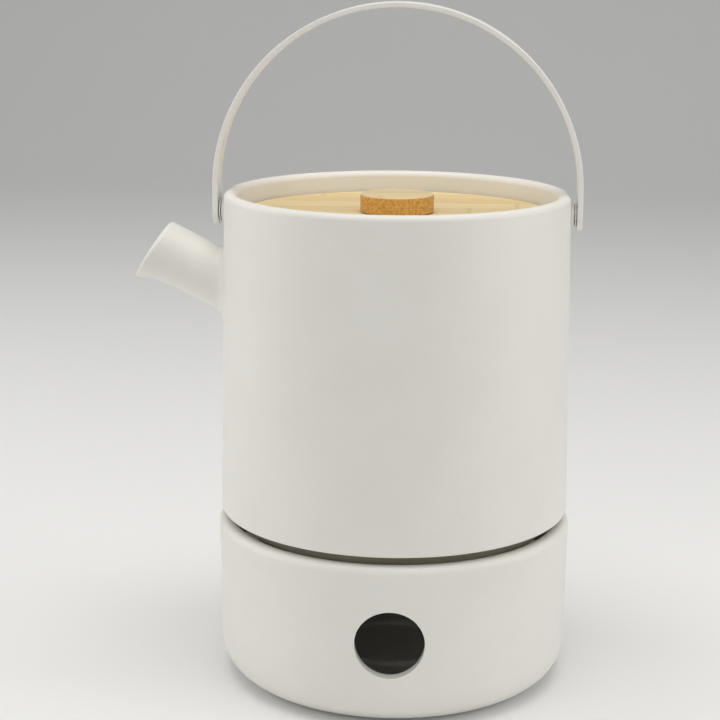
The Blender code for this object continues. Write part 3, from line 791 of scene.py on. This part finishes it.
def make_eye(side, sign):
    """The cutter for the strip's hole, with a countersink for the pin's head."""
    start, end = STRIP_OUTER - 2 * STRIP_THICKNESS, STRIP_OUTER + MM
    hole = PIN_RADIUS + PIN_SLACK
    sink = STRIP_OUTER - PIN_HEAD_DEPTH - PIN_SLACK
    rise = (PIN_HEAD_RADIUS - PIN_RADIUS) / PIN_HEAD_DEPTH
    wide = hole + rise * (end - sink)
    profile = [(0.0, end), (wide, end), (hole, sink), (hole, start), (0.0, start)]
    return turned(f"eye_{side}", profile, SMALL_STEPS, along_x(sign))


def make_pin(side, sign, material):
    """A countersunk pin with a softened head and a shallow hexagon socket."""
    outer, tip = PIN_HIGH[0], PIN_LOW[0]
    head = PIN_HEAD_RADIUS
    profile = [(0.0, outer - PIN_DISH), (head - 2 * PIN_EDGE, outer), (head - PIN_EDGE / 3, outer - PIN_EDGE)]
    profile += [(PIN_RADIUS, outer - PIN_HEAD_DEPTH), (PIN_RADIUS, tip + PIN_TIP)]
    profile += [(PIN_RADIUS - PIN_TIP, tip), (0.0, tip)]
    pin = turned(f"handle_pin_{side}_fine", profile, SMALL_STEPS, along_x(sign))
    start, end = outer - KEY_DEPTH, outer + MM
    profile = [(0.0, end), (KEY_RADIUS, end), (KEY_RADIUS, start), (0.0, start)]
    cut(pin, "DIFFERENCE", turned(f"key_{side}", profile, 6, along_x(sign)))
    sharpen(pin, 30)
    finish_piece(pin, material, "handle", "stainless_steel", f"handle_pin_{side}")


def make_washer(side, sign, material):
    low, high = WASHER_LOW[0], WASHER_HIGH[0]
    inner, outer = PIN_RADIUS + PIN_SLACK, WASHER_HIGH[1]
    soft = WASHER_EDGE
    profile = [(outer - soft, high), (outer, high - soft), (outer, low + soft), (outer - soft, low)]
    profile += [(inner, low), (inner, high)]
    washer = turned(f"handle_washer_{side}_fine", profile, SMALL_STEPS, along_x(sign))
    sharpen(washer, 30)
    finish_piece(washer, material, "pot", "nylon", f"handle_washer_{side}")


def make_lid(bamboo, knob_wood):
    top, under, low = DISC_HIGH[2], DISC_HIGH[2] - LID_THICKNESS, DISC_LOW[2]
    edge, soft = DISC_HIGH[0], LID_UNDER_EDGE
    seal_low, seal_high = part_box("lid_seal")
    plug = seal_high[0] - SEAL_PROUD
    groove = plug - GROOVE_DEPTH
    groove_top, groove_floor = seal_high[2] + GROOVE_SLACK, seal_low[2] - GROOVE_SLACK
    washer_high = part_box("lid_washer")[1]
    sink, sink_z = washer_high[0] + SINK_GAP, washer_high[2] + SINK_GAP
    profile = arc(edge - LID_EDGE, top - LID_EDGE, LID_EDGE, 90, 0, 6)
    profile += arc(edge - soft, under + soft, soft, 0, -90, 4)
    profile += [(plug, under), (plug, groove_top), (groove, groove_top)]
    profile += [(groove, groove_floor), (plug, groove_floor)]
    profile += arc(plug - PLUG_EDGE, low + PLUG_EDGE, PLUG_EDGE, 0, -90, 4)
    profile += [(sink, low), (sink, sink_z), (SCREW_HOLE, sink_z), (SCREW_HOLE, top)]
    disc = turned("lid_disc_fine", filled(profile, LID_STEP), MEDIUM_STEPS)
    sharpen(disc, 35)
    finish_piece(disc, bamboo, "lid", "bamboo", "lid_disc")

    radius, base, crown = KNOB_HIGH[0], KNOB_LOW[2], KNOB_HIGH[2]
    soft, screw_top = KNOB_FOOT_EDGE, KNOB_LOW[2] + SCREW_DEPTH
    profile = [(0.0, crown)] + arc(radius - KNOB_EDGE, crown - KNOB_EDGE, KNOB_EDGE, 90, 0, 8)
    profile += arc(radius - soft, base + soft, soft, 0, -90, 4)
    profile += [(SCREW_HOLE, base), (SCREW_HOLE, screw_top), (0.0, screw_top)]
    knob = turned("lid_knob_fine", filled(profile, FINE_STEP), KNOB_STEPS)
    sharpen(knob, 35)
    finish_piece(knob, knob_wood, "lid", "dark_bamboo", "lid_knob")


def perforated(columns, rows, spot):
    """Faces of a sheet of square cells with a round hole in each. spot maps (u, v) in cells to a point."""
    shape = bmesh.new()
    for column in range(columns):
        for row in range(rows):
            inner, outer = [], []
            for k in range(HOLE_SIDES):
                angle = 2 * math.pi * (k + 0.5) / HOLE_SIDES
                du, dv = math.cos(angle), math.sin(angle)
                for reach, ring in ((HOLE_SHARE, inner), (0.5 / max(abs(du), abs(dv)), outer)):
                    ring.append(shape.verts.new(spot(column + 0.5 + du * reach, row + 0.5 + dv * reach)))
            for k in range(HOLE_SIDES):
                j = (k + 1) % HOLE_SIDES
                shape.faces.new((inner[k], inner[j], outer[j], outer[k]))
    return shape


def plain_band(shape, columns, spot, low, high):
    """A strip of sheet without holes between two heights, with its edge points where the cells' are."""
    for column in range(columns):
        around = [column, column + 0.5, column + 1]
        for u0, u1 in zip(around, around[1:]):
            corners = [shape.verts.new(spot(u, v)) for u, v in ((u0, low), (u1, low), (u1, high), (u0, high))]
            shape.faces.new(corners)


def make_sleeve(material):
    radius, low, high = SLEEVE_HIGH[0], SLEEVE_LOW[2], SLEEVE_HIGH[2]
    cell = 2 * math.pi * radius / SLEEVE_COLUMNS
    start = low + SLEEVE_HEM

    def on_sleeve(u, v):
        turn = 2 * math.pi * u / SLEEVE_COLUMNS
        return (radius * math.cos(turn), radius * math.sin(turn), start + v * cell)

    shape = perforated(SLEEVE_COLUMNS, SLEEVE_ROWS, on_sleeve)
    plain_band(shape, SLEEVE_COLUMNS, on_sleeve, (low - start) / cell, 0.0)
    plain_band(shape, SLEEVE_COLUMNS, on_sleeve, float(SLEEVE_ROWS), (high - start) / cell)
    sleeve = new_object("strainer_sleeve_fine", shape)
    thicken(sleeve, SHEET)
    finish_piece(sleeve, material, "strainer", "stainless_steel", "strainer_sleeve")


def sieve_spot(columns, inner, step, height):
    """The map from cells, along a ring of the sieve and outwards, to points."""

    def spot(u, v):
        turn = 2 * math.pi * u / columns
        out = inner + v * step
        return (out * math.cos(turn), out * math.sin(turn), height)

    return spot


def make_sieve(material):
    """The strainer's floor: rings of perforated sheet, the outer one finer, with a rim bent upwards."""
    edge, top = SIEVE_HIGH[0], SIEVE_LOW[2] + SHEET
    shape = bmesh.new()
    band_edge = edge
    for columns, inner, rows in SIEVE_BANDS:
        step = 2 * math.pi * (inner + SIEVE_BAND_MIDDLE) / columns
        spot = sieve_spot(columns, inner, step, top)
        band = perforated(columns, rows, spot)
        plain_band(band, columns, spot, float(rows), (band_edge - inner) / step)
        if inner == SIEVE_BANDS[-1][1]:
            plain_band(band, columns, spot, (SIEVE_CENTRE - inner) / step, 0.0)
        band_edge = inner
        mesh = bpy.data.meshes.new("band")
        band.to_mesh(mesh)
        band.free()
        shape.from_mesh(mesh)
    columns = SIEVE_BANDS[0][0]
    for k in range(columns):
        u0, u1 = 2 * math.pi * k / columns, 2 * math.pi * (k + 1) / columns
        ring = [(u0, top), (u1, top), (u1, SIEVE_HIGH[2]), (u0, SIEVE_HIGH[2])]
        shape.faces.new([shape.verts.new((edge * math.cos(u), edge * math.sin(u), z)) for u, z in ring])
    floor = new_object("strainer_floor_fine", shape)
    thicken(floor, SHEET)
    finish_piece(floor, material, "strainer", "stainless_steel", "strainer_floor")


def make_collar(material):
    top, flange = COLLAR_HIGH[2], COLLAR_HIGH[2] - COLLAR_SHEET
    outer, stem = COLLAR_HIGH[0], SLEEVE_HIGH[0] + COLLAR_GAP
    under, upper, soft = COLLAR_UNDER_BEND, COLLAR_UPPER_BEND, COLLAR_EDGE
    profile = [(outer - soft, top), (outer, top - soft), (outer, flange + soft), (outer - soft, flange)]
    profile += arc(stem + COLLAR_SHEET + under, flange - under, under, 90, 180, 4)
    profile += [(stem + COLLAR_SHEET, COLLAR_LOW[2]), (stem, COLLAR_LOW[2])]
    profile += arc(stem + upper, top - upper, upper, 180, 90, 5)
    collar = turned("strainer_collar_fine", profile, MEDIUM_STEPS)
    sharpen(collar, 40)
    finish_piece(collar, material, "strainer", "stainless_steel", "strainer_collar")


def thicken(thing, thickness):
    wall = thing.modifiers.new("sheet", "SOLIDIFY")
    wall.thickness = thickness
    wall.offset = -1.0
    bpy.context.view_layer.update()
    apply_modifiers(thing)
    sharpen(thing, 40)


def finish_cad_node(name, material):
    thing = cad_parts[name]
    for slot in thing.material_slots:
        slot.material = material


def make_pieces():
    ceramic, paint, steel = ceramic_material(), paint_material(), steel_material()
    nylon = soft_material("nylon_white", (0.80, 0.79, 0.74), 0.50)
    silicone = soft_material("silicone_white", (0.82, 0.82, 0.79), 0.60)
    make_warmer(ceramic)
    # The pot's foot gets a dark colour as painted shade for the gap above the warmer
    make_pot(ceramic, foot_shade_material())
    make_handle(paint)
    for side, sign in (("left", -1), ("right", 1)):
        make_pin(side, sign, steel)
        make_washer(side, sign, nylon)
        finish_cad_node(f"pin_bush_{side}", nylon)
    make_lid(bamboo_material(), knob_material())
    make_sleeve(steel)
    make_sieve(steel)
    make_collar(steel)
    finish_cad_node("lid_seal", silicone)
    finish_cad_node("lid_screw", steel)
    finish_cad_node("lid_washer", steel)


# Stage

CAMERA_TURN = math.radians(3.0)  # round the object, towards +X
CAMERA_DISTANCE = 663.0 * MM
CAMERA_HEIGHT = 278.8 * MM
CAMERA_PITCH = math.radians(13.15)
CAMERA_YAW = math.radians(-1.19)
CAMERA_ROLL = math.radians(0.35)
CAMERA_LENS = 87.5
CAMERA_SENSOR = 36.0

# In metres
BACKDROP_Y = 2.6
BACKDROP_BEND = 1.2
BACKDROP_TOP = 6.0
BACKDROP_REACH = 9.0
FLOOR_GAP = 0.2 * MM

WHITE = (1.0, 1.0, 1.0)
WARM_WHITE = (1.0, 0.99, 0.975)
WARMER_WHITE = (1.0, 0.985, 0.955)
WORLD_STRENGTH = 0.37
LIGHT_TARGET = (0.0, 0.0, 0.12)
# Each light's name, place, width and height in metres, power in watts and colour
LIGHTS = (
    ("left_light", (-1.05, 0.10, 0.35), 0.9, 1.0, 3.9, WARM_WHITE),
    ("right_light", (1.05, -0.05, 0.35), 0.8, 1.0, 3.9, WARM_WHITE),
    ("top_light", (0.0, -0.14, 1.25), 1.0, 0.8, 8.2, WARMER_WHITE),
    ("front_light", (-0.4, -1.7, 0.50), 1.2, 0.7, 2.3, WHITE),
)


def make_camera():
    data = bpy.data.cameras.new("camera")
    data.lens = CAMERA_LENS
    data.sensor_width = CAMERA_SENSOR
    camera = bpy.data.objects.new("camera", data)
    bpy.context.scene.collection.objects.link(camera)
    ahead = Vector((-math.sin(CAMERA_TURN), math.cos(CAMERA_TURN), 0.0))
    side = Vector((math.cos(CAMERA_TURN), math.sin(CAMERA_TURN), 0.0))
    level = ahead * math.cos(CAMERA_YAW) + side * math.sin(CAMERA_YAW)
    right = side * math.cos(CAMERA_YAW) - ahead * math.sin(CAMERA_YAW)
    look = level * math.cos(CAMERA_PITCH) - Vector((0.0, 0.0, math.sin(CAMERA_PITCH)))
    up = right.cross(look)
    rolled = right * math.cos(CAMERA_ROLL) + up * math.sin(CAMERA_ROLL)
    rolled_up = rolled.cross(look)
    turn = Matrix((rolled, rolled_up, -look)).transposed().to_4x4()
    place = Vector((0.0, 0.0, CAMERA_HEIGHT)) - ahead * CAMERA_DISTANCE
    camera.matrix_world = Matrix.Translation(place) @ turn
    bpy.context.scene.camera = camera


def add_softbox(name, place, width, height, power, colour):
    data = bpy.data.lights.new(name, "AREA")
    data.shape = "RECTANGLE"
    data.size = width
    data.size_y = height
    data.energy = power
    data.color = colour
    lamp = bpy.data.objects.new(name, data)
    bpy.context.scene.collection.objects.link(lamp)
    lamp.location = place
    aim = Vector(LIGHT_TARGET) - Vector(place)
    lamp.rotation_euler = aim.to_track_quat("-Z", "Y").to_euler()


def make_backdrop():
    """A pale floor that curves up into a wall far behind the object."""
    bend_y = BACKDROP_Y - BACKDROP_BEND
    profile = [(-BACKDROP_REACH, 0.0)] + arc(bend_y, BACKDROP_BEND, BACKDROP_BEND, -90, 0, 24)
    profile += [(BACKDROP_Y, BACKDROP_TOP)]
    shape = bmesh.new()
    sides = (-BACKDROP_REACH, BACKDROP_REACH)
    rows = [[shape.verts.new((x, y, z - FLOOR_GAP)) for x in sides] for y, z in profile]
    for near, far in zip(rows, rows[1:]):
        shape.faces.new((near[0], near[1], far[1], far[0]))
    floor = new_object("floor", shape)
    made, tree, shader = new_material("pale_floor", (0.86, 0.86, 0.85), 0.8)
    tone = noise(tree, coordinates(tree), 3.0, 3.0)
    tree.links.new(blend(tree, tone, (0.85, 0.85, 0.845), (0.87, 0.87, 0.865)), shader.inputs["Base Color"])
    floor.data.materials.append(made)


def make_stage():
    make_backdrop()
    world = bpy.data.worlds.new("studio")
    world.use_nodes = True
    sky = world.node_tree.nodes["Background"]
    sky.inputs["Color"].default_value = (*WHITE, 1.0)
    sky.inputs["Strength"].default_value = WORLD_STRENGTH
    bpy.context.scene.world = world
    bpy.context.scene.view_settings.view_transform = "Standard"
    for light in LIGHTS:
        add_softbox(*light)


make_pieces()
make_stage()
make_camera()
